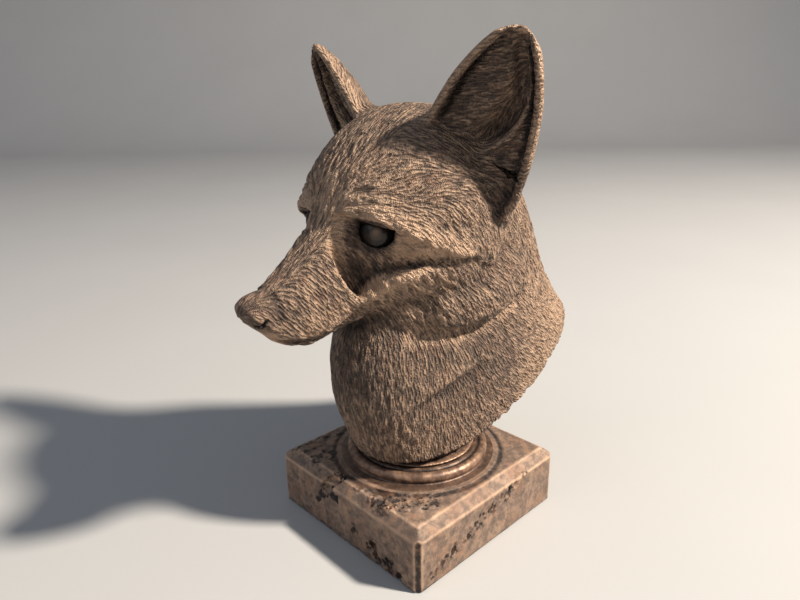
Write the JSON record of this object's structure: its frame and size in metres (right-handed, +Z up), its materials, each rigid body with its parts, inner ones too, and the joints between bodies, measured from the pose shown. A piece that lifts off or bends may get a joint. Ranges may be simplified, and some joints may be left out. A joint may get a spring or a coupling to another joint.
{
  "type": "fox bust ornament",
  "caption": "Fox-head bust with pricked ears, cast in bronze, on a turned ring moulding and a square bevelled plinth; tabletop or garden ornament.",
  "frame": {"origin": "centre of the underside, on the surface that the ornament stands on", "axes": "+Z up; the fox looks along -Y and its left side is +X"},
  "size_m": [0.0922, 0.1387, 0.1598],
  "materials": {
    "fur_bronze": "carved short-fur texture with a dark brown to blue-black patina, rubbed back to warm copper on the raised strokes",
    "weathered_bronze": "rough stone-like cast surface with pits and chips, dark in the recesses and copper on the worn edges",
    "turned_bronze": "smooth turned moulding, dark patina with a soft sheen",
    "eye_bronze": "smooth polished near-black patina",
    "pad_rubber": "matt ribbed rubber sheet",
    "brass": "machined",
    "zinc_steel": "bright zinc plate"
  },
  "bodies": {
    "root": {"plinth": "weathered_bronze", "foot_pad": "pad_rubber", "ring_moulding": "turned_bronze", "socle": "turned_bronze", "bust_shell": "fur_bronze", "left_ear": "fur_bronze", "right_ear": "fur_bronze", "left_eye": "eye_bronze", "right_eye": "eye_bronze", "threaded_insert": "brass", "tie_rod": "zinc_steel", "flat_washer": "zinc_steel", "spring_washer": "zinc_steel", "hex_nut": "zinc_steel"}
  },
  "joints": []
}
